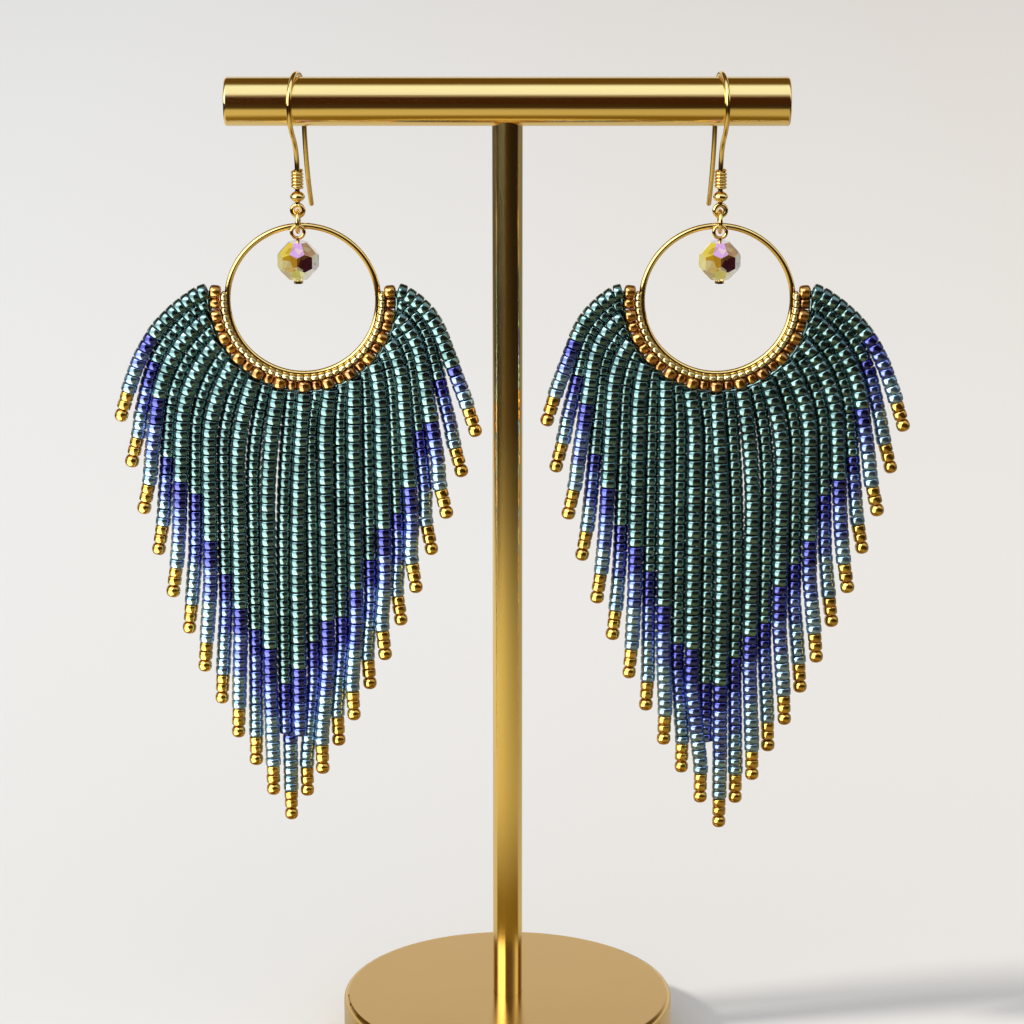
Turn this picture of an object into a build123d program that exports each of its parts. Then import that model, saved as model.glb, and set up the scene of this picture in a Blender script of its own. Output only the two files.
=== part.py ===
from build123d import *
import os
from math import atan2, cos, hypot, radians, sin, tan

# A pair of bead fringe earrings hanging by their ear hooks on a T-bar display stand.
# Millimetres. +Z is up, +Y points away from the viewer, and the origin is under the middle of the base.
# Each earring is laid out from its hang point: the bar's axis, where its hook goes over the bar.

# Stand
base_diameter = 55.6
base_thickness = 8.0
base_edge_radius = 0.9
post_diameter = 4.9
base_socket_depth = 5.0
bar_diameter = 7.8
bar_length = 90.2
bar_axis_height = 160.2
bar_edge_radius = 0.4
bar_socket_depth = 3.0
socket_clearance = 0.05

# Ear hook, with a coil and a flattened ball threaded on its straight stem and an eye at its foot
hook_wire = 0.8
hook_bar_gap = 0.15
stem_top_drop = 10.8
coil_length = 3.6
coil_wire = 0.56
coil_turns = 6
coil_sleeve = 0.2
ball_diameter = 2.4
ball_height = 1.8
thread_clearance = 0.05
eye_radius = 0.9
tail_drop = 18.0
tail_flare = 4.0

# Ring that joins the hook's eye, the hoop and the drop's loop
ring_radius = 1.7
ring_wire = 0.7
link_clearance = 0.06

# Hoop, and the band of beads stitched along its lower half
hoop_diameter = 25.4
hoop_wire = 1.0
hoop_depth = 0.2
band_half_angle = 96.0
band_sleeve = 0.25
band_height = 2.1
band_thickness = 2.0
band_corner_radius = 0.7
hoop_clearance = 0.06

# Fringe: strands on a backing that follows the band
strand_count = 25
strand_diameter = 2.2
column_pitch = 2.4
settle_length = 14.0
shortest_settle = 1.0
strand_stagger = 0.55
strand_droop = 0.38
backing_gap = 0.1
backing_height = 1.3
backing_thickness = 1.4
start_inset = 0.3
tip_length = 5.4
tip_ball_diameter = 2.3
fall_curve = 0.3
outer_strand_lean = 20.0
strand_lean_power = 4.5
outer_tip_lean = 17.0
tip_lean_power = 1.6
shortest_bend = 5.0
middle_bend_share = 0.3
outer_bend_share = 0.6
nearly_straight = 0.06
bend_fill = 0.9
middle_column = 6.0
middle_join = 3.0

# Faceted drop on a head pin
drop_diameter = 6.2
drop_sides = 8
drop_facet_tilt = 42.0
drop_table_share = 0.98
drop_gap = 0.3
pin_wire = 0.6
pin_loop_radius = 1.0
pin_loop_depth = 0.72
pin_loop_rise = 0.08
pin_head_diameter = 1.5
pin_head_thickness = 0.4

# One row for each earring, as seen from the front. end_inset: how far its hang point is from the bar's
# end. turn: degrees that the hook is turned about the upright. slip: degrees that the hoop has slid round
# in its ring. shift: how far the strands hang to the side as a whole. sway: the same for the middle tip.
# drop: how far that tip is below the bar's axis.
earrings = [
    {
        "name": "left", "end_inset": 11.4, "turn": 12.0, "slip": 2.8,
        "shift": -2.1, "sway": -2.6, "drop": 120.2,
    },
    {
        "name": "right", "end_inset": 10.9, "turn": -9.5, "slip": -1.2,
        "shift": 0.0, "sway": 1.3, "drop": 121.6,
    },
]

# One row for each half of a fringe. spread: how far its outer tip is from the hang point. drop: how far
# that tip is below the bar's axis. crowding: over 1 where the outer tips hang closer together.
fringe_halves = [
    {"earring": "left", "side": -1, "spread": 29.2, "drop": 51.3, "crowding": 1.2},
    {"earring": "left", "side": 1, "spread": 28.4, "drop": 53.9, "crowding": 1.05},
    {"earring": "right", "side": -1, "spread": 27.7, "drop": 52.1, "crowding": 1.25},
    {"earring": "right", "side": 1, "spread": 30.3, "drop": 53.0, "crowding": 1.12},
]

# Sizes that follow
bar_radius = bar_diameter / 2
hook_radius = hook_wire / 2
bend_radius = bar_radius + hook_bar_gap + hook_radius
bore_radius = hook_radius + thread_clearance
coil_bottom_drop = stem_top_drop + coil_length
ball_drop = coil_bottom_drop + thread_clearance + ball_height / 2
eye_drop = ball_drop + ball_height / 2 + thread_clearance + hook_radius + eye_radius
ring_wire_radius = ring_wire / 2
ring_drop = eye_drop + eye_radius - hook_radius - link_clearance - ring_wire_radius + ring_radius
hoop_wire_radius = hoop_wire / 2
hoop_radius = hoop_diameter / 2 - hoop_wire_radius
hoop_seat = ring_radius - ring_wire_radius - hoop_wire_radius - link_clearance
hoop_top_drop = ring_drop + (hoop_seat**2 - hoop_depth**2) ** 0.5
band_bore = hoop_wire_radius + hoop_clearance
band_outer_radius = hoop_radius + hoop_wire_radius + hoop_clearance + band_height
backing_inner_radius = band_outer_radius + backing_gap
strand_radius = strand_diameter / 2
tip_ball_radius = tip_ball_diameter / 2
pin_radius = pin_wire / 2
loop_wire_seat = ring_radius - ring_wire_radius - pin_radius - link_clearance
pin_loop_drop = ring_drop + (loop_wire_seat**2 - pin_loop_depth**2) ** 0.5 - pin_loop_rise + pin_loop_radius
drop_top_drop = pin_loop_drop + pin_loop_radius + pin_radius + drop_gap
drop_radius = drop_diameter / 2
drop_centre_drop = drop_top_drop + drop_radius * drop_table_share

for row in earrings:
    side = -1 if row["name"] == "left" else 1
    row["x"] = side * (bar_length / 2 - row["end_inset"])

os.makedirs("parts", exist_ok=True)


def save(piece, label):
    """Labels a finished piece and writes it to its own file."""
    piece.label = label
    export_step(piece, f"parts/{label}.step")


def hoop_centre(earring):
    """X and Z of the hoop's centre: it hangs in the ring, a little to one side if it has slipped."""
    slip = radians(earring["slip"])
    across = earring["x"] + hoop_radius * sin(slip)
    height = bar_axis_height - hoop_top_drop - hoop_radius * cos(slip)
    return across, height


def strand_route(earring, index):
    """Where one strand runs, in the plane of the hoop: it leaves the band, droops round one bend, hangs
    in its column to its foot, and settles from there to its neck, where its tip starts. The two strands
    in the middle share a neck and a tip."""
    first_right = strand_count // 2
    side = -1 if index < first_right else 1
    if side < 0:
        inward = index / (first_right - 1)
    else:
        inward = (strand_count - 1 - index) / (strand_count - 1 - first_right)
    outward = 1 - inward
    is_middle = inward == 1
    across, height = hoop_centre(earring)
    turn = radians(band_half_angle * (2 * index / (strand_count - 1) - 1))
    leave = turn * (1 - strand_droop)
    start_radius = backing_inner_radius + strand_radius * abs(sin(turn - leave)) + start_inset
    start = (across + start_radius * sin(turn), height - start_radius * cos(turn))

    half = next(row for row in fringe_halves if (row["earring"], row["side"]) == (earring["name"], side))
    fall_share = (1 + fall_curve) * inward - fall_curve * inward**2
    tip_drop = half["drop"] + (earring["drop"] - half["drop"]) * fall_share
    tip_spread = half["spread"] * (1 - inward ** half["crowding"])
    tip = (
        earring["x"] + earring["sway"] * inward + side * tip_spread,
        bar_axis_height - tip_drop,
    )
    tip_lean = side * radians(outer_tip_lean * outward**tip_lean_power)
    tip_run = tip_length + (middle_column if is_middle else 0)
    neck = (tip[0] - tip_run * sin(tip_lean), tip[1] + tip_run * cos(tip_lean))
    column = earring["x"] + earring["shift"] + column_pitch * (index - first_right + 0.5)
    column_share = min(1, 2 * inward)
    settle = middle_join if is_middle else shortest_settle + settle_length * inward
    lean = side * radians(outer_strand_lean * outward**strand_lean_power)
    above_neck = neck[0] - settle * tan(lean)
    foot = (above_neck + (column - above_neck) * column_share, neck[1] + settle)

    # The bend's corner is where the way out of the band meets the line on which the strand hangs.
    gap = (foot[0] - start[0], foot[1] - start[1])
    length = hypot(*gap)
    cross = sin(leave) * cos(lean) - cos(leave) * sin(lean)
    to_corner = length
    if abs(cross) > nearly_straight:
        to_corner = (gap[0] * cos(lean) + gap[1] * sin(lean)) / cross
    longest_share = middle_bend_share + (outer_bend_share - middle_bend_share) * outward
    reach = min(max(to_corner, shortest_bend), longest_share * length)
    corner_height = start[1] - reach * cos(leave)
    corner = (foot[0] - (corner_height - foot[1]) * tan(lean), corner_height)
    leaving = (corner[0] - start[0], corner[1] - start[1])
    hang = (foot[0] - corner[0], foot[1] - corner[1])
    across_turn = leaving[0] * hang[1] - leaving[1] * hang[0]
    along_turn = leaving[0] * hang[0] + leaving[1] * hang[1]
    bend = abs(atan2(across_turn, along_turn))
    bend_radius = None
    if bend > nearly_straight:
        bend_radius = bend_fill * min(hypot(*leaving), hypot(*hang)) / tan(bend / 2)
    return {
        "start": start,
        "corner": corner,
        "foot": foot,
        "neck": neck,
        "tip": tip,
        "bend_radius": bend_radius,
        "depth": hoop_depth + strand_stagger * (1 if index % 2 else -1),
        "is_middle": is_middle,
        "side": side,
    }


# Stand: a heavy round base, a post and a round bar

with BuildPart() as stand_base:
    with BuildSketch():
        Circle(base_diameter / 2)
    extrude(amount=base_thickness)
    fillet(stand_base.edges(), base_edge_radius)
    with Locations((0, 0, base_thickness)):
        Hole(post_diameter / 2 + socket_clearance, depth=base_socket_depth)
save(stand_base.part, "stand_base")

post_foot = base_thickness - base_socket_depth + socket_clearance
post_head = bar_axis_height - bar_radius + bar_socket_depth - socket_clearance
with BuildPart() as stand_post:
    with BuildSketch(Plane.XY.offset(post_foot)):
        Circle(post_diameter / 2)
    extrude(amount=post_head - post_foot)
save(stand_post.part, "stand_post")

with BuildPart() as stand_bar:
    with BuildSketch(Plane(origin=(-bar_length / 2, 0, bar_axis_height), z_dir=(1, 0, 0))):
        Circle(bar_radius)
    extrude(amount=bar_length)
    fillet(stand_bar.edges().filter_by(GeomType.CIRCLE), bar_edge_radius)
    with BuildSketch(Plane.XY.offset(bar_axis_height - bar_radius)):
        Circle(post_diameter / 2 + socket_clearance)
    extrude(amount=bar_socket_depth, mode=Mode.SUBTRACT)
save(stand_bar.part, "stand_bar")


def make_ear_hook(earring):
    """A wire that rises through the ball and the coil, bends forward, goes over the bar and flares out
    behind it, with an eye at its foot that faces the viewer."""
    turn = radians(earring["turn"])
    back = (sin(turn), cos(turn), 0)
    hook_plane = Plane(
        origin=(earring["x"], 0, bar_axis_height), x_dir=back, z_dir=(cos(turn), -sin(turn), 0)
    )
    eye_plane = Plane(origin=(earring["x"], 0, bar_axis_height - eye_drop), z_dir=back)
    with BuildPart() as hook:
        with BuildLine(hook_plane) as route:
            stem = Line((0, -eye_drop + eye_radius), (0, -stem_top_drop))
            rise = TangentArc(stem @ 1, (-bend_radius / 2, -stem_top_drop / 2), tangent=stem % 1)
            front = TangentArc(rise @ 1, (-bend_radius, 0), tangent=rise % 1)
            over = TangentArc(front @ 1, (bend_radius, 0), tangent=front % 1)
            TangentArc(over @ 1, (bend_radius + tail_flare, -tail_drop), tangent=over % 1)
        with BuildSketch(Plane(origin=route.line @ 0, z_dir=route.line % 0)):
            Circle(hook_radius)
        sweep()
        with Locations(route.line @ 1):
            Sphere(hook_radius)
        with Locations(eye_plane):
            Torus(eye_radius, hook_radius)
    return hook.part


def make_hook_coil(earring):
    """A close coil of fine wire round the hook's stem, as ribs on a thin sleeve."""
    middle = bar_axis_height - stem_top_drop - coil_length / 2
    pitch = (coil_length - 2 * thread_clearance - coil_wire) / (coil_turns - 1)
    with BuildPart() as coil:
        with BuildSketch(Plane(origin=(earring["x"], 0, middle), x_dir=(1, 0, 0), z_dir=(0, -1, 0))):
            with Locations((bore_radius + coil_sleeve / 2, 0)):
                Rectangle(coil_sleeve, pitch * (coil_turns - 1))
            with Locations((bore_radius + coil_wire / 2, 0)):
                with GridLocations(0, pitch, 1, coil_turns):
                    Circle(coil_wire / 2)
        revolve(axis=Axis((earring["x"], 0, middle), (0, 0, 1)))
    return coil.part


def make_hook_ball(earring):
    """A small flattened ball threaded on the stem under the coil."""
    centre = (earring["x"], 0, bar_axis_height - ball_drop)
    with BuildPart() as ball:
        with BuildSketch(Plane(origin=centre, x_dir=(1, 0, 0), z_dir=(0, -1, 0))):
            Ellipse(ball_diameter / 2, ball_height / 2)
            Rectangle(2 * bore_radius, 2 * ball_height, mode=Mode.SUBTRACT)
            Rectangle(ball_diameter, 2 * ball_height, align=(Align.MAX, Align.CENTER), mode=Mode.SUBTRACT)
        revolve(axis=Axis(centre, (0, 0, 1)))
    return ball.part


def make_jump_ring(earring):
    """The ring that hangs in the eye, seen edge on, and carries the hoop and the drop."""
    ring_plane = Plane(origin=(earring["x"], 0, bar_axis_height - ring_drop), z_dir=(1, 0, 0))
    with BuildPart(ring_plane) as ring:
        Torus(ring_radius, ring_wire_radius)
    return ring.part


def make_hoop(earring):
    """The round wire hoop that carries the fringe."""
    across, height = hoop_centre(earring)
    with BuildPart(Plane(origin=(across, hoop_depth, height), z_dir=(0, 1, 0))) as hoop:
        Torus(hoop_radius, hoop_wire_radius)
    return hoop.part


def band_plane(earring):
    """A plane through the hoop's axis at the band's first end: its X runs outwards from the hoop's
    centre and its Y runs along the hoop's axis."""
    across, height = hoop_centre(earring)
    turn = radians(-band_half_angle)
    outward = (sin(turn), 0, -cos(turn))
    return Plane(
        origin=(across, hoop_depth, height), x_dir=outward, z_dir=(-outward[2], 0, outward[0])
    )


def make_bead_band(earring):
    """The band of stitched beads: a sleeve round the hoop's wire with the row of beads outside it."""
    across, height = hoop_centre(earring)
    row_inner = hoop_radius + hoop_wire_radius + hoop_clearance
    with BuildPart() as band:
        with BuildSketch(band_plane(earring)):
            with Locations((hoop_radius, 0)):
                Circle(band_bore + band_sleeve)
            with Locations(((row_inner + band_outer_radius) / 2, 0)):
                RectangleRounded(band_outer_radius - row_inner, band_thickness, band_corner_radius)
            with Locations((hoop_radius, 0)):
                Circle(band_bore, mode=Mode.SUBTRACT)
        revolve(
            axis=Axis((across, hoop_depth, height), (0, 1, 0)), revolution_arc=-2 * band_half_angle
        )
    return band.part


def make_fringe(earring):
    """The strands, fused to a narrow backing along the band. Each ends in a leaning tip with a ball,
    and the ones in the middle share one tip."""
    across, height = hoop_centre(earring)
    with BuildPart() as fringe:
        with BuildSketch(band_plane(earring)):
            with Locations((backing_inner_radius + backing_height / 2, 0)):
                Rectangle(backing_height, backing_thickness)
        revolve(
            axis=Axis((across, hoop_depth, height), (0, 1, 0)), revolution_arc=-2 * band_half_angle
        )
        pieces = []
        for index in range(strand_count):
            strand = strand_route(earring, index)
            run = (strand["start"], strand["corner"], strand["foot"])
            neck_depth = hoop_depth if strand["is_middle"] else strand["depth"]
            neck = Vector(strand["neck"][0], neck_depth, strand["neck"][1])
            tip = Vector(strand["tip"][0], neck_depth, strand["tip"][1])
            has_tip = not strand["is_middle"] or strand["side"] < 0
            # A plane facing the viewer at this strand's depth: its X is X and its Y is Z.
            front = Plane(origin=(0, strand["depth"], 0), x_dir=(1, 0, 0), z_dir=(0, -1, 0))
            with BuildLine(front, mode=Mode.PRIVATE) as hanging:
                if strand["bend_radius"]:
                    FilletPolyline(*run, radius=strand["bend_radius"])
                else:
                    Polyline(*run)
            with BuildLine(mode=Mode.PRIVATE) as whole:
                add(hanging.line)
                if has_tip:
                    Polyline(hanging.line @ 1, neck, tip)
                else:
                    Line(hanging.line @ 1, neck - Vector(0, 0, strand_radius / 2))
            start_plane = Plane(origin=hanging.line @ 0, z_dir=hanging.line % 0)
            with BuildSketch(start_plane, mode=Mode.PRIVATE) as end:
                Circle(strand_radius)
            strand_piece = sweep(
                end.sketch, path=whole.line, transition=Transition.RIGHT, mode=Mode.PRIVATE
            )
            pieces.append(strand_piece)
            if has_tip:
                with Locations(tip):
                    pieces.append(Sphere(tip_ball_radius, mode=Mode.PRIVATE))
        add(pieces)
    return fringe.part


def make_drop_bead(earring):
    """A round bead cut with a table at each end and three rings of facets, drilled for its pin."""
    centre = Vector(earring["x"], -pin_loop_depth, bar_axis_height - drop_centre_drop)
    half_step = 180 / drop_sides
    with BuildPart(Plane(origin=centre)) as bead:
        Cylinder(drop_diameter, 2 * drop_radius * drop_table_share)
        for tilt, offset in ((drop_facet_tilt, 0), (0, half_step), (-drop_facet_tilt, 0)):
            for side in range(drop_sides):
                facing = Vector(1, 0, 0).rotate(Axis.Y, -tilt).rotate(Axis.Z, 2 * half_step * side + offset)
                split(
                    bisect_by=Plane(origin=centre + facing * drop_radius, z_dir=facing), keep=Keep.BOTTOM
                )
        Hole(pin_radius + thread_clearance)
    return bead.part


def make_drop_pin(earring):
    """The head pin: a loop over the bead, a shaft through it and a flat head under it."""
    shaft_top = pin_loop_drop + pin_loop_radius
    shaft_foot = drop_centre_drop + drop_radius * drop_table_share + drop_gap
    loop_centre = (earring["x"], -pin_loop_depth, bar_axis_height - pin_loop_drop)
    head_top = (earring["x"], -pin_loop_depth, bar_axis_height - shaft_foot)
    with BuildPart() as pin:
        with Locations(Plane(origin=loop_centre, z_dir=(0, 1, 0))):
            Torus(pin_loop_radius, pin_radius)
        with BuildSketch(Plane(origin=head_top)):
            Circle(pin_radius)
        extrude(amount=shaft_foot - shaft_top)
        with BuildSketch(Plane(origin=head_top)):
            Circle(pin_head_diameter / 2)
        extrude(amount=-pin_head_thickness)
    return pin.part


for row in earrings:
    for piece_name, make in {
        "ear_hook": make_ear_hook,
        "hook_coil": make_hook_coil,
        "hook_ball": make_hook_ball,
        "jump_ring": make_jump_ring,
        "hoop": make_hoop,
        "bead_band": make_bead_band,
        "fringe": make_fringe,
        "drop_bead": make_drop_bead,
        "drop_pin": make_drop_pin,
    }.items():
        save(make(row), f"{piece_name}_{row['name']}")
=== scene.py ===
from math import cos, hypot, pi, radians, sin, tan

import bpy
import numpy as np
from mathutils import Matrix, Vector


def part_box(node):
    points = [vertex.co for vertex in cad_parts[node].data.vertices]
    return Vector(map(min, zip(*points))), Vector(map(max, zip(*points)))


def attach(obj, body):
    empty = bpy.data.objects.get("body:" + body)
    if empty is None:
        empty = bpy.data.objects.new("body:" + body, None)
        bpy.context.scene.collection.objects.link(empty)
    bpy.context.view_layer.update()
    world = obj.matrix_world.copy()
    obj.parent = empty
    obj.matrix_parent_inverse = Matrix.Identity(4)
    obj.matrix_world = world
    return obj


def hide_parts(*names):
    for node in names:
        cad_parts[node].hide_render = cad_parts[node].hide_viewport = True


# The looks of a pair of bead fringe earrings that hang on a gold T-bar stand: every seed bead, the coils on
# the hooks, the cut drops, and the materials. Sizes are in millimetres until a mesh is made, and those of
# the stage are in metres. Angles are in degrees where they are listed.
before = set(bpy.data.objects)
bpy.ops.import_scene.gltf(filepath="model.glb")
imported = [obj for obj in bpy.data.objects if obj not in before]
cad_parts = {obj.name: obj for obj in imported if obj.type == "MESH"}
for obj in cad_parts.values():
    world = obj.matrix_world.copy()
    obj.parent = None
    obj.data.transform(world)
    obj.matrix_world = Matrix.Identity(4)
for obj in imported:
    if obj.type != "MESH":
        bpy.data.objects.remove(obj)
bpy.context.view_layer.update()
mm = 0.001

# Sizes that the earrings share with the model
strand_count = 25
strand_diameter = 2.2
column_pitch = 2.4
settle_length = 14.0
shortest_settle = 1.0
strand_stagger = 0.55
strand_droop = 0.38
band_half_angle = 96.0
backing_inner_radius = 14.96
start_inset = 0.3
tip_length = 5.4
tip_ball_diameter = 2.3
fall_curve = 0.3
outer_strand_lean = 20.0
strand_lean_power = 4.5
outer_tip_lean = 17.0
tip_lean_power = 1.6
shortest_bend = 5.0
middle_bend_share = 0.3
outer_bend_share = 0.6
nearly_straight = 0.06
bend_fill = 0.9
middle_column = 6.0
middle_join = 3.0
bar_axis_height = 160.2
hoop_depth = 0.2
coil_top_drop = 10.8
coil_length = 3.6
coil_wire = 0.56
coil_turns = 6
coil_bore_radius = 0.45

# seed: a number that gives each earring its own small differences from bead to bead
earrings = [
    {"name": "left", "seed": 3, "x": -33.7, "shift": -2.1, "sway": -2.6, "drop": 120.2},
    {"name": "right", "seed": 7, "x": 34.2, "shift": 0.0, "sway": 1.3, "drop": 121.6},
]
fringe_halves = [
    {"earring": "left", "side": -1, "spread": 29.2, "drop": 51.3, "crowding": 1.2},
    {"earring": "left", "side": 1, "spread": 28.4, "drop": 53.9, "crowding": 1.05},
    {"earring": "right", "side": -1, "spread": 27.7, "drop": 52.1, "crowding": 1.25},
    {"earring": "right", "side": 1, "spread": 30.3, "drop": 53.0, "crowding": 1.12},
]

# Sizes of the beads on the strands. A bead's fill is the share of its pitch that it takes up.
teal_diameter = 2.66
blue_diameter = 2.54
gold_diameter = 2.26
ball_length = 2.16
bead_pitch = 1.46
bead_fill = 0.985
bead_hole_radius = 0.36
short_bead = 1.5
short_fill = 0.98
ball_hole_radius = 0.3
first_bead_radius = 15.2
first_bead_tuck = 0.4
pair_share = 0.12
pair_gap = 0.1
bend_points = 25
direction_reach = 0.3

# Sizes of the beads round the hoop
amber_diameter = 2.16
amber_length = 1.9
amber_radius = 14.22
amber_stagger = 0.42
pale_diameter = 0.95
pale_hole_radius = 0.2
pale_count = 36
pale_radius = 12.8
pale_stagger = 0.74
pale_fill = 0.98

# How square a bead's side is, from 2 for a ball up, how far round from its hole the side starts and ends,
# as a share of a half turn, and how far from its middle the hole's edge lies, as a share of its length
seed_squareness = 7.0
ball_squareness = 2.5
round_squareness = 3.6
side_margin = 0.1
mouth_share = 0.36

# Threads, and the wire of the coils
thread_radius = 0.12
thread_sides = 6
band_thread_radius = 13.35
band_thread_diameter = 0.7
fringe_thread_radius = 15.3
fringe_thread_diameter = 0.9
band_thread_points = 97
band_thread_sides = 8
coil_top_gap = 0.05
coil_foot_gap = 0.1
coil_open_turn = 0.6
coil_points = 150
coil_sides = 12
coil_end_share = 0.4
closed_end_radius = 0.02

# How far a bead leans and how its width varies at random, and where the seeds of the hoop's beads start
bead_lean = 0.05
pale_lean = 0.08
narrowest_bead = 0.975
width_span = 0.05
amber_seed = 900
pale_seed = 700

# How light a bead of each kind is, as its material reads it: the least, and how much more it may be. Most
# strands have a light bead where their teal starts.
tone_spans = {
    "glass": (0, 0.65),
    "short_gold": (0.3, 0.5),
    "ball_gold": (0.4, 0.4),
    "amber": (0.2, 0.7),
    "pale_gold": (0.3, 0.6),
}
light_tone = 1.3
no_light_share = 0.3

# How many beads of each colour a strand has above its gold tip, at the sides and at the middle
blue_counts = {
    "pale_blue": (2.8, 5.6),
    "violet_blue": (2.8, 5.2),
    "navy": (2.2, 3.6),
}
count_jitter = 1.6

# The metals: their colour, their dull colour and their roughness, and for brushed ones how close the brush
# lines are along each axis and how deep
metals = {
    "base_metal": ((0.76, 0.51, 0.185), (0.73, 0.48, 0.16), 0.2, (90, 90, 90), 0.01),
    "bar_metal": ((0.97, 0.71, 0.28), (0.93, 0.66, 0.25), 0.13, (60, 6000, 6000), 0.12),
    "post_metal": ((0.97, 0.71, 0.28), (0.93, 0.66, 0.25), 0.17, (9000, 9000, 40), 0.1),
    "gold_wire": ((0.95, 0.7, 0.26), (0.88, 0.6, 0.2), 0.12),
}

# How much a metal's roughness varies either way
rough_spread = 0.2

# The beads: their deep and their light colour, their roughness, lining and coat, and how much of a bead's
# lightness comes from the clouds in its glass
cloud_share = 0.35
glasses = {
    "gold_beads": ((0.28, 0.125, 0.009), (0.66, 0.37, 0.055), 0.17, 0.95, 0.3),
    "pale_gold_beads": ((0.42, 0.3, 0.09), (0.66, 0.52, 0.23), 0.28, 0.85, 0.5),
    "amber_beads": ((0.13, 0.035, 0.002), (0.4, 0.17, 0.012), 0.22, 0.88, 0.5),
    "teal_beads": ((0.024, 0.063, 0.062), (0.128, 0.222, 0.211), 0.17, 0.95, 0.35),
    "navy_beads": ((0.008, 0.009, 0.13), (0.03, 0.035, 0.26), 0.19, 0.93, 0.45),
    "violet_blue_beads": ((0.05, 0.07, 0.29), (0.155, 0.21, 0.5), 0.19, 0.9, 0.5),
    "pale_blue_beads": ((0.12, 0.2, 0.28), (0.26, 0.4, 0.5), 0.19, 0.85, 0.6),
}

# The crystal's facets each get a colour by the way that they face: partly its own gold and violet coat,
# partly painted reflections, with a painted highlight where a facet is near white and a painted dark
# reflection where it is near black. Each row starts a colour at a share of the way from left to right, and
# a row's test is how far up its facets face. Painted flecks stand for facets of the far side seen through
# the glass: for each colour of fleck, the channel and the level that it starts at, and how much of it
# shows.
painted_facet_rows = {
    "upper": [(0.0, (0.92, 0.74, 0.1)), (0.36, (0.7, 0.42, 0.9)), (0.64, (0.8, 0.5, 0.3))],
    "middle": [
        (0.0, (0.97, 0.86, 0.3)),
        (0.18, (0.68, 0.38, 0.02)),
        (0.5, (0.05, 0.008, 0.015)),
        (0.82, (1.0, 1.0, 0.98)),
    ],
    "lower": [(0.0, (0.5, 0.3, 0.03)), (0.3, (0.95, 0.84, 0.2)), (0.64, (1.0, 0.99, 0.95))],
}
row_tests = [("upper", "GREATER_THAN", 0.3), ("lower", "LESS_THAN", -0.3)]
fleck_scale = 5.5
fleck_edge = 0.1
painted_flecks = [
    ("Red", 0.74, 0.6, (1.0, 0.93, 0.5)),
    ("Green", 0.8, 0.5, (0.45, 0.22, 0.02)),
]

# The floor's colour at the left of the stand, its colour at the right with painted shade, a little darker
# and warmer, and the painted shade that it falls to at the back
floor_half_size = 12
floor_left = (0.8, 0.8, 0.785)
shaded_floor_right = (0.765, 0.73, 0.69)
floor_sides = (-0.2, 0.2)
painted_floor_shade = (0.87, 0.865, 0.865)
floor_back = (0.3, 1.5)

# Painted reflections for the metal, on a glowing card below the floor that only glossy rays see: its
# colour, by how far behind the stand it is, and how bright it is, by how far to the right. Its dark bands
# are painted dark reflections.
reflected_floor_half_size = 2
floor_reach = 0.6
painted_reflection_bands = [
    (-0.6, (0.05, 0.03, 0.012)),
    (-0.38, (0.07, 0.045, 0.02)),
    (-0.25, (0.62, 0.55, 0.3)),
    (-0.12, (0.66, 0.57, 0.3)),
    (-0.07, (0.22, 0.14, 0.02)),
    (-0.01, (0.26, 0.17, 0.02)),
    (0.04, (0.64, 0.6, 0.5)),
    (0.6, (0.64, 0.64, 0.62)),
]
side_reach = 0.5
side_bands = [(-0.38, 0.08), (-0.25, 0.6), (-0.2, 0.62), (0.2, 0.32), (0.45, 0.16)]
side_brightness = 2

# The patches that the beads reflect. bearings: degrees from straight in front to the right. rise: degrees
# above the horizon of the patch in the air; the other one lies on the floor. reach: metres from the stand.
glint_patches = [
    {"name": "glint_on_floor", "bearings": (-84, -22), "reach": (0.1, 1.6), "rise": None, "strength": 6.5},
    {"name": "glint_in_air", "bearings": (-75, -5), "reach": (2.0,), "rise": (30, 56), "strength": 8.0},
]
glint_colour = (0.93, 1.0, 1.0)
glint_steps = 12

# How far below the floor's surface the cards lie
reflected_floor_depth = 0.0005
glint_depth = 0.0003

# What glossy surfaces see of the sky, from the horizon in front, over the top, to the one behind, as 0 to 1
sky_bands = [
    (0.0, (0.045, 0.015, 0.004)),
    (0.15, (0.045, 0.015, 0.004)),
    (0.2, (0.4, 0.35, 0.33)),
    (0.25, (1.0, 1.15, 1.4)),
    (0.47, (1.05, 1.25, 1.5)),
    (0.53, (0.3, 0.25, 0.15)),
    (0.57, (0.12, 0.07, 0.01)),
    (0.82, (0.12, 0.07, 0.01)),
    (0.87, (0.8, 0.77, 0.74)),
    (1.0, (0.9, 0.89, 0.86)),
]

# Their soft box at the front left, low enough for the beads: where each edge starts and where it is full,
# as bearings for its sides and as heights for its foot and top. An even background lights all else.
box_sides = [(-14, -26), (-84, -70)]
box_heights = [(-0.1, 0.0), (0.8, 0.7)]
box_colour = (3.0, 3.3, 3.5)
even_colour = (0.665, 0.68, 0.7)

# The light that throws the shadow to the right: it comes from the left, a little in front
sun_forward = 9.5
sun_rise = 38
sun_spread = 6
sun_energy = 2.14
sun_colour = (1.0, 0.965, 0.92)

camera_place = (0.74, -579.4, 248.2)
camera_lens = 128.4
camera_fall = 15.05

noise_factors = (12.9898, 78.233, 37.719, 9.151)
noise_shift = 0.5
noise_scale = 43758.5453
nearly_along_y = 0.9


def unit_noise(*numbers):
    """A repeatable number from 0 to 1 that looks random."""
    total = sum(value * factor for value, factor in zip(numbers, noise_factors))
    wave = sin(total + noise_shift) * noise_scale
    return wave - np.floor(wave)


def bead_tone(kind, *numbers):
    """How light a bead is, at random in its kind's span."""
    least, span = tone_spans[kind]
    return least + span * unit_noise(*numbers)


# Routes of the strands


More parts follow.
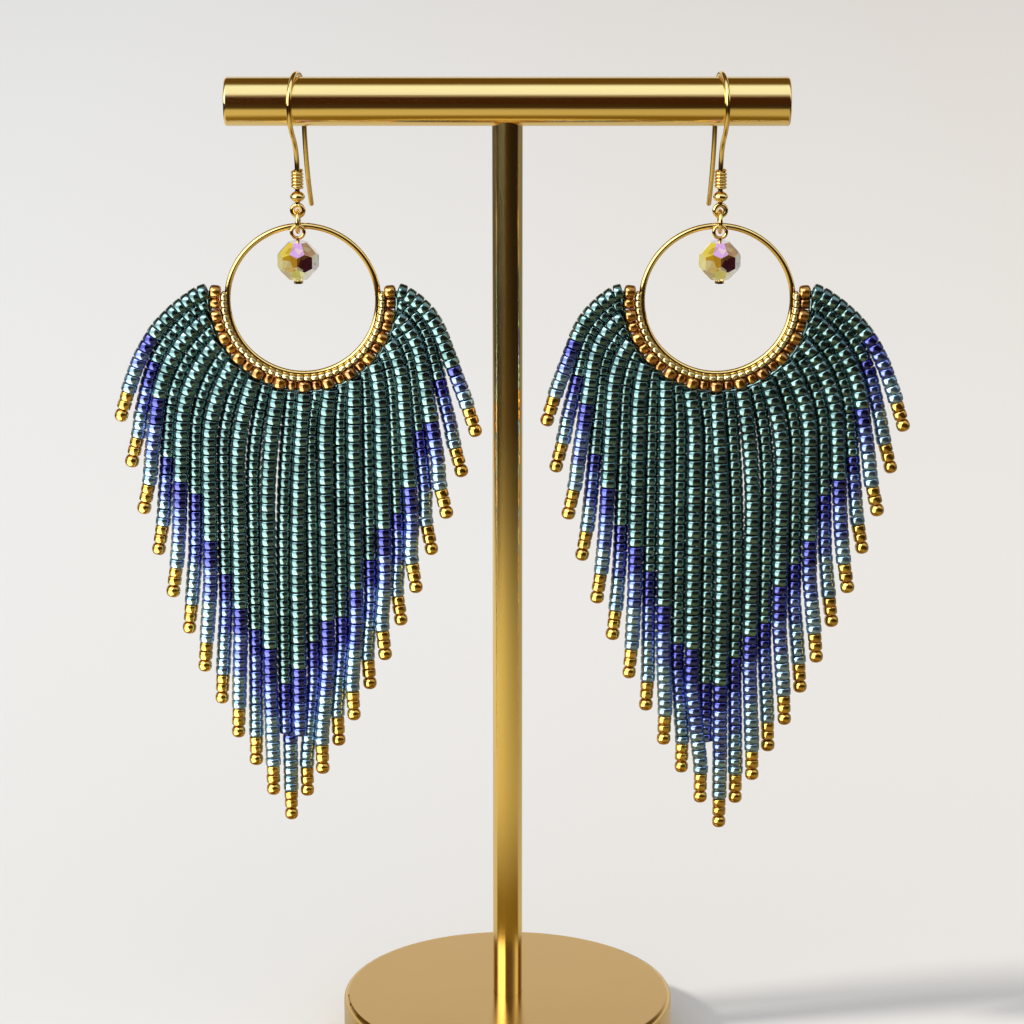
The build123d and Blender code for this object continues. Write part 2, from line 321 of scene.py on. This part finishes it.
def hoop_centre(earring):
    """X and Z of the hoop's centre, from the hoop in the frame."""
    low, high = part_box(f"hoop_{earring['name']}")
    return (low[0] + high[0]) / 2 / mm, (low[2] + high[2]) / 2 / mm


def band_turn(share):
    """The angle from the hoop's foot, at a share of the way along the band."""
    return radians(band_half_angle * (2 * share - 1))


def strand_route(earring, index):
    """Where one strand runs, in the plane of the hoop, as the model has it."""
    first_right = strand_count // 2
    side = -1 if index < first_right else 1
    if side < 0:
        inward = index / (first_right - 1)
    else:
        inward = (strand_count - 1 - index) / (strand_count - 1 - first_right)
    outward = 1 - inward
    is_middle = inward == 1
    across, height = hoop_centre(earring)
    turn = band_turn(index / (strand_count - 1))
    leave = turn * (1 - strand_droop)
    tuck = abs(sin(turn - leave))
    start_radius = backing_inner_radius + strand_diameter / 2 * tuck + start_inset
    start = (across + start_radius * sin(turn), height - start_radius * cos(turn))
    band_radius = first_bead_radius + first_bead_tuck * tuck
    at_band = (across + band_radius * sin(turn), height - band_radius * cos(turn))

    half = next(row for row in fringe_halves if (row["earring"], row["side"]) == (earring["name"], side))
    fall_share = (1 + fall_curve) * inward - fall_curve * inward**2
    tip_drop = half["drop"] + (earring["drop"] - half["drop"]) * fall_share
    tip_spread = half["spread"] * (1 - inward ** half["crowding"])
    tip = (
        earring["x"] + earring["sway"] * inward + side * tip_spread,
        bar_axis_height - tip_drop,
    )
    tip_lean = side * radians(outer_tip_lean * outward**tip_lean_power)
    tip_run = tip_length + (middle_column if is_middle else 0)
    neck = (tip[0] - tip_run * sin(tip_lean), tip[1] + tip_run * cos(tip_lean))
    column = earring["x"] + earring["shift"] + column_pitch * (index - first_right + 0.5)
    column_share = min(1, 2 * inward)
    settle = middle_join if is_middle else shortest_settle + settle_length * inward
    lean = side * radians(outer_strand_lean * outward**strand_lean_power)
    above_neck = neck[0] - settle * tan(lean)
    foot = (above_neck + (column - above_neck) * column_share, neck[1] + settle)

    gap = (foot[0] - start[0], foot[1] - start[1])
    length = hypot(*gap)
    cross = sin(leave) * cos(lean) - cos(leave) * sin(lean)
    to_corner = length
    if abs(cross) > nearly_straight:
        to_corner = (gap[0] * cos(lean) + gap[1] * sin(lean)) / cross
    longest_share = middle_bend_share + (outer_bend_share - middle_bend_share) * outward
    reach = min(max(to_corner, shortest_bend), longest_share * length)
    corner_height = start[1] - reach * cos(leave)
    corner = (foot[0] - (corner_height - foot[1]) * tan(lean), corner_height)
    return {
        "at_band": at_band,
        "start": start,
        "corner": corner,
        "foot": foot,
        "neck": neck,
        "tip": tip,
        "depth": hoop_depth + strand_stagger * (1 if index % 2 else -1),
        "inward": inward,
        "is_middle": is_middle,
        "side": side,
    }


def strand_line(route):
    """The strand's middle line as close points from the amber bead to its foot, rounded at the bend."""
    start = np.array(route["start"])
    corner = np.array(route["corner"])
    foot = np.array(route["foot"])
    first = (corner - start) / np.linalg.norm(corner - start)
    second = (foot - corner) / np.linalg.norm(foot - corner)
    cut = bend_fill * min(np.linalg.norm(corner - start), np.linalg.norm(foot - corner))
    points = [route["at_band"]]
    for share in np.linspace(0, 1, bend_points):
        before = corner - (1 - share) * cut * first
        after = corner + share * cut * second
        points.append(before + share * (after - before))
    points.append(foot)
    return np.array([(x, route["depth"], z) for x, z in points])


def along(points, distances):
    """Places and directions on a line of points, at distances from its start."""
    steps = np.linalg.norm(np.diff(points, axis=0), axis=1)
    reached = np.concatenate(([0], np.cumsum(steps)))

    def place(distance):
        return np.stack([np.interp(distance, reached, points[:, axis]) for axis in range(3)], axis=1)

    direction = place(distances + direction_reach) - place(distances - direction_reach)
    return place(distances), direction / np.linalg.norm(direction, axis=1)[:, None]


# Meshes


def ring_quads(ring_count, sides):
    """The faces between rings of points that follow one another."""
    quads = []
    for ring in range(ring_count - 1):
        low = ring * sides
        high = low + sides
        for side in range(sides):
            after = (side + 1) % sides
            quads.append((low + side, low + after, high + after, high + side))
    return np.array(quads)


def bead_form(radius, length, hole, squareness, steps, sides):
    """Points and faces of a drilled bead along Z: a soft-edged short tube, closed in to its hole."""
    rings = [(hole, -mouth_share * length)]
    for step in range(steps):
        angle = pi * (side_margin + (1 - 2 * side_margin) * step / (steps - 1)) - pi / 2
        height = abs(sin(angle)) ** (2 / squareness) * (1 if angle > 0 else -1)
        across = abs(cos(angle)) ** (2 / squareness)
        rings.append((radius * across, length / 2 * height))
    rings.append((hole, mouth_share * length))
    angles = np.arange(sides) * 2 * pi / sides
    points = [
        np.stack([wide * np.cos(angles), wide * np.sin(angles), np.full(sides, height)], axis=1)
        for wide, height in rings
    ]
    return np.concatenate(points), ring_quads(len(rings), sides)


def tube(points, radius, sides):
    """Points and quads of a round tube along a line of points, closed where its radius runs out."""
    points = np.asarray(points, dtype=float)
    tangents = np.gradient(points, axis=0)
    tangents /= np.linalg.norm(tangents, axis=1)[:, None]
    helper = np.array([0.0, 1.0, 0.0])
    if abs(tangents[0] @ helper) > nearly_along_y:
        helper = np.array([1.0, 0.0, 0.0])
    side = np.cross(tangents[0], helper)
    angles = np.arange(sides) * 2 * pi / sides
    radii = np.full(len(points), radius) if np.isscalar(radius) else radius
    rings = []
    for point, tangent, wide in zip(points, tangents, radii):
        side = side - tangent * (side @ tangent)
        side /= np.linalg.norm(side)
        front = np.cross(tangent, side)
        rings.append(point + wide * (np.cos(angles)[:, None] * side + np.sin(angles)[:, None] * front))
    return np.concatenate(rings), ring_quads(len(points), sides)


def join(parts):
    """Joins several (points, quads) pairs."""
    points = []
    quads = []
    offset = 0
    for part_points, part_quads in parts:
        points.append(part_points)
        quads.append(part_quads + offset)
        offset += len(part_points)
    return np.concatenate(points), np.concatenate(quads)


def mesh_piece(name, points, quads):
    """A smooth mesh object from arrays of points and of four-sided faces."""
    mesh = bpy.data.meshes.new(name)
    mesh.vertices.add(len(points))
    mesh.vertices.foreach_set("co", np.asarray(points * mm, dtype=np.float32).ravel())
    mesh.loops.add(len(quads) * 4)
    mesh.loops.foreach_set("vertex_index", np.asarray(quads, dtype=np.int32).ravel())
    mesh.polygons.add(len(quads))
    mesh.polygons.foreach_set("loop_start", np.arange(0, len(quads) * 4, 4, dtype=np.int32))
    mesh.polygons.foreach_set("use_smooth", np.ones(len(quads), dtype=bool))
    mesh.update(calc_edges=True)
    mesh.validate()
    piece = bpy.data.objects.new(name, mesh)
    bpy.context.scene.collection.objects.link(piece)
    return piece


def joined_beads(name, form, group):
    """One mesh of many beads. Each bead has a place, the direction of its hole, a spin, a width and a
    length scale, and a tone that its material reads."""
    points, faces = form
    beads = {key: np.array(values, dtype=float) for key, values in group.items()}
    count = len(beads["place"])
    axis = beads["axis"]
    helper = np.where(np.abs(axis[:, 1:2]) < nearly_along_y, [[0.0, 1.0, 0.0]], [[1.0, 0.0, 0.0]])
    side = np.cross(helper, axis)
    side /= np.linalg.norm(side, axis=1)[:, None]
    front = np.cross(axis, side)
    spin = beads["spin"][:, None]
    turned_side = side * np.cos(spin) + front * np.sin(spin)
    turned_front = -side * np.sin(spin) + front * np.cos(spin)
    width = beads["width"][:, None, None]
    length = beads["length"][:, None, None]
    vertices = (
        beads["place"][:, None, :]
        + width * points[None, :, 0:1] * turned_side[:, None, :]
        + width * points[None, :, 1:2] * turned_front[:, None, :]
        + length * points[None, :, 2:3] * axis[:, None, :]
    )
    all_faces = faces[None, :, :] + (np.arange(count) * len(points))[:, None, None]
    piece = mesh_piece(name, vertices.reshape(-1, 3), all_faces.reshape(-1, 4))
    tone = piece.data.attributes.new("tone", "FLOAT", "POINT")
    tone.data.foreach_set("value", np.repeat(beads["tone"], len(points)).astype(np.float32))
    return piece


# Nodes of materials and of the sky


def fill(node, inputs):
    """Sets a node's sockets to numbers, vectors or colours, or links other sockets to them."""
    for name, value in inputs.items():
        socket = node.inputs[name]
        if isinstance(value, bpy.types.NodeSocket):
            node.id_data.links.new(value, socket)
        elif socket.type == "RGBA":
            socket.default_value = (*value, 1)
        else:
            socket.default_value = value


def add_node(tree, kind, inputs=None, **settings):
    """A new node with its settings and inputs."""
    node = tree.nodes.new(f"ShaderNode{kind}")
    for name, value in settings.items():
        setattr(node, name, value)
    fill(node, inputs or {})
    return node


def maths(tree, operation, *values):
    """The result of a sum on numbers and sockets."""
    return add_node(tree, "Math", dict(enumerate(values)), operation=operation).outputs[0]


def map_range(tree, value, low, high, to_low=0, to_high=1, steps="LINEAR"):
    """A value moved from one range to another."""
    ranges = {"Value": value, "From Min": low, "From Max": high, "To Min": to_low, "To Max": to_high}
    return add_node(tree, "MapRange", ranges, interpolation_type=steps).outputs["Result"]


def mix(tree, factor, first, second, blend="MIX"):
    """A colour between two colours or sockets, by a factor socket."""
    inputs = {"Factor": factor, "A": first, "B": second}
    return add_node(tree, "Mix", inputs, data_type="RGBA", blend_type=blend).outputs["Result"]


def ramp(tree, value, bands, low=0, high=1, steps="LINEAR"):
    """The colour at a value from 0 to 1. The bands give colours at places between low and high."""
    node = add_node(tree, "ValToRGB", {"Fac": value})
    node.color_ramp.interpolation = steps
    elements = node.color_ramp.elements
    while len(elements) < len(bands):
        elements.new(0.5)
    for element, (where, colour) in zip(elements, bands):
        element.position = (where - low) / (high - low)
        element.color = (*colour, 1)
    return node.outputs["Color"]


def new_material(name):
    """A material, its node tree and its shader."""
    material = bpy.data.materials.new(name)
    material.use_nodes = True
    return material, material.node_tree, material.node_tree.nodes["Principled BSDF"]


def empty_tree(owner):
    """The node tree of a new material or of the world, without its nodes."""
    owner.use_nodes = True
    owner.node_tree.nodes.clear()
    return owner.node_tree


# Materials


def bead_material(name, deep, light, roughness, lining, coat):
    """Silver-lined glass: a colour that varies from bead to bead under a clear, slightly wavy surface.
    lining: how much of it shines like the metal inside the hole. coat: how glossy the clear surface is."""
    material, tree, shader = new_material(name)
    place = add_node(tree, "TexCoord").outputs["Object"]
    tone = add_node(tree, "Attribute", attribute_name="tone")
    cloud = add_node(tree, "TexNoise", {"Vector": place, "Scale": 1400, "Detail": 2})
    lightness = maths(tree, "MULTIPLY_ADD", cloud.outputs["Fac"], cloud_share, tone.outputs["Fac"])
    ripple = add_node(tree, "TexNoise", {"Vector": place, "Scale": 2600})
    wave = {"Height": ripple.outputs["Fac"], "Strength": 0.15, "Distance": 0.0001}
    fill(shader, {
        "Base Color": mix(tree, lightness, deep, light),
        "Metallic": lining,
        "Roughness": roughness,
        "IOR": 1.6,
        "Coat Weight": coat,
        "Coat IOR": 1.8,
        "Coat Roughness": 0.08,
        "Normal": add_node(tree, "Bump", wave).outputs["Normal"],
    })
    return material


def gold_material(name, colour, dull_colour, roughness, brush_scale=None, brush_strength=None):
    """Gold plating with faint unevenness, and fine brush lines where brush_scale stretches them."""
    material, tree, shader = new_material(name)
    place = add_node(tree, "TexCoord").outputs["Object"]
    cloud = add_node(tree, "TexNoise", {"Vector": place, "Scale": 60, "Detail": 3}).outputs["Fac"]
    smoothest = roughness * (1 - rough_spread)
    roughest = roughness * (1 + rough_spread)
    fill(shader, {
        "Base Color": mix(tree, cloud, dull_colour, colour),
        "Metallic": 1.0,
        "Roughness": map_range(tree, cloud, 0, 1, smoothest, roughest),
    })
    if brush_scale:
        stretched = add_node(tree, "Mapping", {"Vector": place, "Scale": brush_scale}).outputs["Vector"]
        lines = add_node(tree, "TexNoise", {"Vector": stretched, "Scale": 1, "Detail": 4})
        brushed = {"Height": lines.outputs["Fac"], "Strength": brush_strength, "Distance": 0.00005}
        fill(shader, {"Normal": add_node(tree, "Bump", brushed).outputs["Normal"]})
    return material


def crystal_material():
    """Cut glass, each facet coloured by the way that it faces: partly its coat, partly painted reflections.
    """
    material, tree, shader = new_material("cut_crystal")
    place = add_node(tree, "TexCoord")
    facing = add_node(tree, "SeparateXYZ", {"Vector": place.outputs["Normal"]})
    rightward = map_range(tree, facing.outputs["X"], -1, 1)
    # Painted reflections and highlights: a colour for each facet by the way that it faces
    rows = {row: ramp(tree, rightward, bands, steps="CONSTANT") for row, bands in painted_facet_rows.items()}
    colour = rows["middle"]
    for row, operation, limit in row_tests:
        colour = mix(tree, maths(tree, operation, facing.outputs["Z"], limit), colour, rows[row])
    # Painted flecks where the far facets would show through the glass
    cells = add_node(tree, "TexVoronoi", {"Vector": place.outputs["Generated"], "Scale": fleck_scale})
    channels = add_node(tree, "SeparateColor", {"Color": cells.outputs["Color"]})
    for channel, least, share, fleck_colour in painted_flecks:
        level = channels.outputs[channel]
        fleck = map_range(tree, level, least, least + fleck_edge, 0, share)
        colour = mix(tree, fleck, colour, fleck_colour)
    fill(shader, {
        "Base Color": colour,
        "Roughness": 0.03,
        "IOR": 1.56,
        "Transmission Weight": 0.2,
        "Coat Weight": 1.0,
        "Coat Roughness": 0.02,
        "Thin Film Thickness": 420,
        "Thin Film IOR": 1.9,
    })
    return material


materials = {name: gold_material(name, *values) for name, values in metals.items()}
materials |= {name: bead_material(name, *values) for name, values in glasses.items()}
bead_pieces = []


def finish_piece(piece, slot, body, replaced):
    """Gives a piece its material and its body, and hides the node of the frame that it stands for."""
    piece.data.materials.append(materials[slot])
    if "beads" in slot:
        bead_pieces.append(piece)
    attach(piece, body)
    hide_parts(replaced)


def dress(node, material):
    """Gives a node of the frame a better material."""
    mesh_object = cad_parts[node]
    if not mesh_object.material_slots:
        mesh_object.data.materials.append(None)
    for place in mesh_object.material_slots:
        place.material = material


# Beads, threads and coil of one earring. The numbers beside a seed tell its uses apart.


def blank_groups(*kinds):
    return {
        kind: {"place": [], "axis": [], "spin": [], "width": [], "length": [], "tone": []}
        for kind in kinds
    }


def add_bead(group, place, axis, seed, length=1.0, tone=None, lean=bead_lean):
    """Adds one bead to its kind, with a random spin, lean and width."""
    tilt = np.array([unit_noise(seed, number) - 0.5 for number in (1, 2, 3)])
    axis = axis + 2 * lean * tilt
    group["place"].append(place)
    group["axis"].append(axis / np.linalg.norm(axis))
    group["spin"].append(2 * pi * unit_noise(seed, 4))
    group["width"].append(narrowest_bead + width_span * unit_noise(seed, 5))
    group["length"].append(length)
    group["tone"].append(bead_tone("glass", seed, 6) if tone is None else tone)


def blue_run(route, index, earring_seed):
    """The colours of a strand's beads above its gold tip, from the bottom up, without the teal."""
    run = []
    for order, (colour, (at_side, at_middle)) in enumerate(blue_counts.items()):
        wanted = at_side + (at_middle - at_side) * route["inward"]
        jitter = count_jitter * (unit_noise(index, order, earring_seed) - 0.5)
        run += [colour] * max(1, round(wanted + jitter))
    return run


def string_beads(groups, line, colours, seed):
    """Seed beads on a line, in colours from its lower end up and teal above them."""
    total = np.linalg.norm(np.diff(line, axis=0), axis=1).sum()
    count = max(1, round(total / bead_pitch))
    pitch = total / count
    places, axes = along(line, (np.arange(count) + 0.5) * pitch)
    for step in range(count):
        from_bottom = count - 1 - step
        colour = colours[from_bottom] if from_bottom < len(colours) else "teal"
        is_light = from_bottom == len(colours) and unit_noise(seed, 12) > no_light_share
        add_bead(
            groups[colour],
            places[step],
            axes[step],
            seed + 0.03 * step + 5,
            length=pitch / bead_pitch,
            tone=light_tone if is_light else None,
        )


def make_fringe_beads(earring):
    """The beads of every strand and of its gold tip, and the threads inside them. The two strands in the
    middle end side by side above one tip."""
    groups = blank_groups("teal", "navy", "violet_blue", "pale_blue", "short_gold", "ball_gold")
    threads = []
    for index in range(strand_count):
        route = strand_route(earring, index)
        line = strand_line(route)
        seed = 100 * earring["seed"] + index
        depth = hoop_depth if route["is_middle"] else route["depth"]
        neck = np.array((route["neck"][0], depth, route["neck"][1]))
        tip = np.array((route["tip"][0], depth, route["tip"][1]))
        down = (tip - neck) / np.linalg.norm(tip - neck)
        ball_top = tip - down * ball_length / 2
        tip_top = ball_top - down * short_bead * 2
        colours = blue_run(route, index, earring["seed"])
        has_tip = not route["is_middle"] or route["side"] < 0

        if route["is_middle"]:
            pair_end = line[-1] + pair_share * (neck - line[-1])
            hanging = np.vstack([line, pair_end[None, :]])
            shared_top = np.array((neck[0], depth, pair_end[2] - pair_gap))
            shared = max(1, round(np.linalg.norm(tip_top - shared_top) / bead_pitch))
            if has_tip:
                string_beads(groups, np.array([shared_top, tip_top]), colours[:shared], seed + 0.4)
                threads.append(tube([pair_end, shared_top, tip], thread_radius, thread_sides))
            colours = colours[shared:]
        else:
            hanging = np.vstack([line, neck[None, :], tip_top[None, :]])
            threads.append(tube([tip_top, tip], thread_radius, thread_sides))
        string_beads(groups, hanging, colours, seed)
        threads.append(tube(hanging, thread_radius, thread_sides))
        if has_tip:
            add_bead(groups["ball_gold"], tip, down, seed + 0.1, tone=bead_tone("ball_gold", seed, 9))
            for step in (0, 1):
                centre = ball_top - down * short_bead * (step + 0.5)
                tone = bead_tone("short_gold", seed, step)
                add_bead(groups["short_gold"], centre, down, seed + 0.2 + step, tone=tone)
    return groups, threads


def make_band_beads(earring):
    """The amber beads, one above each strand, and the small pale gold beads before and behind the hoop."""
    across, height = hoop_centre(earring)
    groups = blank_groups("amber", "pale_gold")
    for index in range(strand_count):
        turn = band_turn(index / (strand_count - 1))
        outward = np.array((sin(turn), 0, -cos(turn)))
        depth = hoop_depth + amber_stagger * (1 if index % 2 else -1)
        place = np.array((across, depth, height)) + amber_radius * outward
        add_bead(groups["amber"], place, outward, amber_seed + index, tone=bead_tone("amber", index, 31))
    for index in range(pale_count):
        turn = band_turn((index + 0.5) / pale_count)
        outward = np.array((sin(turn), 0, -cos(turn)))
        tangent = np.array((cos(turn), 0, sin(turn)))
        tone = bead_tone("pale_gold", index, 41)
        for side in (-1, 1):
            place = np.array((across, hoop_depth + side * pale_stagger, height)) + pale_radius * outward
            seed = pale_seed + index + side
            add_bead(groups["pale_gold"], place, tangent, seed, tone=tone, lean=pale_lean)
    return groups


def band_thread(earring, radius, diameter):
    """The thread that holds a row of beads, along the hoop."""
    across, height = hoop_centre(earring)
    turns = np.radians(np.linspace(-band_half_angle, band_half_angle, band_thread_points))
    points = np.stack([
        across + radius * np.sin(turns),
        np.full(len(turns), hoop_depth),
        height - radius * np.cos(turns),
    ], axis=1)
    radii = np.full(len(points), diameter / 2)
    radii[[0, -1]] = closed_end_radius
    return tube(points, radii, band_thread_sides)


def make_coil(earring):
    """The wire wound round the hook's stem, in close turns."""
    height = bar_axis_height - coil_top_drop - coil_wire / 2 - coil_top_gap
    fall = coil_length - coil_wire - coil_foot_gap
    turns = np.linspace(0, coil_turns - coil_open_turn, coil_points)
    angles = 2 * pi * turns
    radius = coil_bore_radius + coil_wire / 2
    points = np.stack([
        earring["x"] + radius * np.cos(angles),
        radius * np.sin(angles),
        height - fall * turns / turns[-1],
    ], axis=1)
    radii = np.full(len(points), coil_wire / 2)
    radii[[0, -1]] = closed_end_radius
    radii[[1, -2]] = coil_wire * coil_end_share
    return tube(points, radii, coil_sides)


blue_form = bead_form(blue_diameter / 2, bead_pitch * bead_fill, bead_hole_radius, seed_squareness, 9, 18)
pale_pitch = radians(2 * band_half_angle) * pale_radius / pale_count

# The form of each kind of bead, and its material
bead_kinds = {
    "teal": (
        bead_form(teal_diameter / 2, bead_pitch * bead_fill, bead_hole_radius, seed_squareness, 9, 18),
        "teal_beads",
    ),
    "navy": (blue_form, "navy_beads"),
    "violet_blue": (blue_form, "violet_blue_beads"),
    "pale_blue": (blue_form, "pale_blue_beads"),
    "short_gold": (
        bead_form(gold_diameter / 2, short_bead * short_fill, bead_hole_radius, seed_squareness, 11, 18),
        "gold_beads",
    ),
    "ball_gold": (
        bead_form(tip_ball_diameter / 2, ball_length, ball_hole_radius, ball_squareness, 11, 20),
        "gold_beads",
    ),
    "amber": (
        bead_form(amber_diameter / 2, amber_length, bead_hole_radius, round_squareness, 11, 18),
        "amber_beads",
    ),
    "pale_gold": (
        bead_form(pale_diameter / 2, pale_pitch * pale_fill, pale_hole_radius, round_squareness, 7, 12),
        "pale_gold_beads",
    ),
}


def finish_beads(groups, name, body, node):
    """One piece for each kind of bead on an earring's fringe or band."""
    for kind, group in groups.items():
        form, slot = bead_kinds[kind]
        finish_piece(joined_beads(f"{kind}_beads_{name}", form, group), slot, body, node)


for earring in earrings:
    name = earring["name"]
    body = f"{name}_drop"
    fringe = f"fringe_{name}"
    band = f"bead_band_{name}"
    groups, threads = make_fringe_beads(earring)
    finish_beads(groups, name, body, fringe)
    threads.append(band_thread(earring, fringe_thread_radius, fringe_thread_diameter))
    finish_piece(mesh_piece(f"threads_{name}", *join(threads)), "teal_beads", body, fringe)
    finish_beads(make_band_beads(earring), name, body, band)
    thread = band_thread(earring, band_thread_radius, band_thread_diameter)
    finish_piece(mesh_piece(f"band_thread_{name}", *thread), "amber_beads", body, band)
    coil = mesh_piece(f"wound_coil_{name}", *make_coil(earring))
    finish_piece(coil, "gold_wire", "stand", f"hook_coil_{name}")

# Materials of the nodes that stay
crystal = crystal_material()
dress("stand_base", materials["base_metal"])
dress("stand_post", materials["post_metal"])
dress("stand_bar", materials["bar_metal"])
for earring in earrings:
    for node in ("ear_hook", "hook_ball", "jump_ring", "hoop", "drop_pin"):
        dress(f"{node}_{earring['name']}", materials["gold_wire"])
    dress(f"drop_bead_{earring['name']}", crystal)

# Stage: a pale floor, painted reflections for the metal, painted glints for the beads, the sky, one light,
# and the camera


def floor_material():
    """Pale, with painted shade that makes it a little darker to the right and far behind."""
    material, tree, shader = new_material("floor")
    place = add_node(tree, "TexCoord").outputs["Object"]
    parts = add_node(tree, "SeparateXYZ", {"Vector": place}).outputs
    # Painted shade: darker towards the right and far behind
    near = mix(tree, map_range(tree, parts["X"], *floor_sides), floor_left, shaded_floor_right)
    colour = mix(tree, map_range(tree, parts["Y"], *floor_back), near, painted_floor_shade, "MULTIPLY")
    fill(shader, {"Base Color": colour, "Roughness": 0.9, "Specular IOR Level": 0.0})
    return material


def painted_floor_reflection_material():
    """Painted reflections for glossy surfaces: bright near the stand and behind it, dark far in front."""
    material = bpy.data.materials.new("reflected_floor")
    tree = empty_tree(material)
    place = add_node(tree, "TexCoord").outputs["Object"]
    parts = add_node(tree, "SeparateXYZ", {"Vector": place}).outputs
    distance = add_node(tree, "VectorMath", {0: place}, operation="LENGTH").outputs["Value"]
    behind = maths(tree, "MULTIPLY", distance, maths(tree, "SIGN", parts["Y"]))
    ahead = map_range(tree, behind, -floor_reach, floor_reach)
    colour = ramp(tree, ahead, painted_reflection_bands, -floor_reach, floor_reach)
    rightward = map_range(tree, parts["X"], -side_reach, side_reach)
    shares = [(where, (share, share, share)) for where, share in side_bands]
    brightness = ramp(tree, rightward, shares, -side_reach, side_reach)
    strength = maths(tree, "MULTIPLY", brightness, side_brightness)
    emission = add_node(tree, "Emission", {"Color": colour, "Strength": strength})
    add_node(tree, "OutputMaterial", {"Surface": emission.outputs["Emission"]})
    return material


def glint_material(name, strength):
    """Light that can be seen through."""
    material = bpy.data.materials.new(name)
    tree = empty_tree(material)
    emission = add_node(tree, "Emission", {"Color": glint_colour, "Strength": strength})
    clear = add_node(tree, "BsdfTransparent")
    both = add_node(tree, "AddShader", {0: emission.outputs["Emission"], 1: clear.outputs["BSDF"]})
    add_node(tree, "OutputMaterial", {"Surface": both.outputs["Shader"]})
    return material


def stage_card(name, corners, faces, material):
    """A flat or bent card of the stage."""
    mesh = bpy.data.meshes.new(name)
    mesh.from_pydata(corners, [], faces)
    mesh.materials.append(material)
    card = bpy.data.objects.new(name, mesh)
    bpy.context.scene.collection.objects.link(card)
    return card


def stage_plane(name, half_size, height, material):
    """A level square round the stand."""
    signs = [(-1, -1), (1, -1), (1, 1), (-1, 1)]
    corners = [(half_size * x, half_size * y, height) for x, y in signs]
    return stage_card(name, corners, [(0, 1, 2, 3)], material)


def show_in_gloss_only(card):
    """Leaves a card in glossy reflections alone."""
    for kind in ("camera", "diffuse", "transmission", "volume_scatter", "shadow"):
        setattr(card, f"visible_{kind}", False)


floor = stage_plane("floor", floor_half_size, 0, floor_material())
floor.visible_glossy = False
# A glowing card under the floor that only glossy rays see: painted reflections for the metal
card = stage_plane(
    "reflected_floor", reflected_floor_half_size, -reflected_floor_depth, painted_floor_reflection_material(),
)
show_in_gloss_only(card)

# Bright patches at the front that light up one side of every bead, and nothing else
lit_beads = bpy.data.collections.new("lit_beads")
for piece in bead_pieces:
    lit_beads.objects.link(piece)
for patch in glint_patches:
    if patch["rise"] is None:
        ends = [(reach, -glint_depth) for reach in patch["reach"]]
    else:
        far = patch["reach"][0]
        ends = [(far * cos(radians(rise)), far * sin(radians(rise))) for rise in patch["rise"]]
    corners = [
        (across * sin(bearing), -across * cos(bearing), height)
        for bearing in np.radians(np.linspace(*patch["bearings"], glint_steps + 1))
        for across, height in ends
    ]
    quads = [(step, step + 1, step + 3, step + 2) for step in range(0, 2 * glint_steps, 2)]
    card = stage_card(patch["name"], corners, quads, glint_material(patch["name"], patch["strength"]))
    show_in_gloss_only(card)
    card.light_linking.receiver_collection = lit_beads

# The sky: one with bands and a soft box for glossy surfaces, and an even one for all else
world = bpy.data.worlds.new("studio")
bpy.context.scene.world = world
tree = empty_tree(world)
place = add_node(tree, "TexCoord").outputs["Generated"]
parts = add_node(tree, "SeparateXYZ", {"Vector": place}).outputs
forward = maths(tree, "MULTIPLY", parts["Y"], -1)
over = maths(tree, "DIVIDE", maths(tree, "ARCTAN2", parts["Z"], forward), pi)
bearing = maths(tree, "ARCTAN2", parts["X"], forward)
edges = [
    map_range(tree, bearing, radians(start), radians(full), steps="SMOOTHSTEP")
    for start, full in box_sides
]
edges += [map_range(tree, parts["Z"], start, full, steps="SMOOTHSTEP") for start, full in box_heights]
box_width = maths(tree, "MULTIPLY", edges[0], edges[1])
box_height = maths(tree, "MULTIPLY", edges[2], edges[3])
in_box = maths(tree, "MULTIPLY", box_width, box_height)
sky_colour = mix(tree, in_box, ramp(tree, over, sky_bands), box_colour)
even = add_node(tree, "Background", {"Color": even_colour}).outputs["Background"]
sky = add_node(tree, "Background", {"Color": sky_colour}).outputs["Background"]
is_glossy = add_node(tree, "LightPath").outputs["Is Glossy Ray"]
seen = add_node(tree, "MixShader", {"Fac": is_glossy, 1: even, 2: sky}).outputs["Shader"]
add_node(tree, "OutputWorld", {"Surface": seen})

sun = bpy.data.lights.new("key", "SUN")
sun.energy = sun_energy
sun.angle = radians(sun_spread)
sun.color = sun_colour
key = bpy.data.objects.new("key", sun)
key.location = (-cos(radians(sun_forward)), -sin(radians(sun_forward)), tan(radians(sun_rise)))
key.rotation_euler = key.location.to_track_quat("Z", "Y").to_euler()
key.visible_glossy = False
bpy.context.scene.collection.objects.link(key)

camera_data = bpy.data.cameras.new("camera")
camera_data.sensor_width = 36
camera_data.lens = camera_lens
camera_data.clip_start = 0.01
camera_data.clip_end = 100
camera = bpy.data.objects.new("camera", camera_data)
camera.location = [value * mm for value in camera_place]
camera.rotation_euler = (radians(90 - camera_fall), 0, 0)
bpy.context.scene.collection.objects.link(camera)
bpy.context.scene.camera = camera
bpy.context.scene.view_settings.view_transform = "Standard"
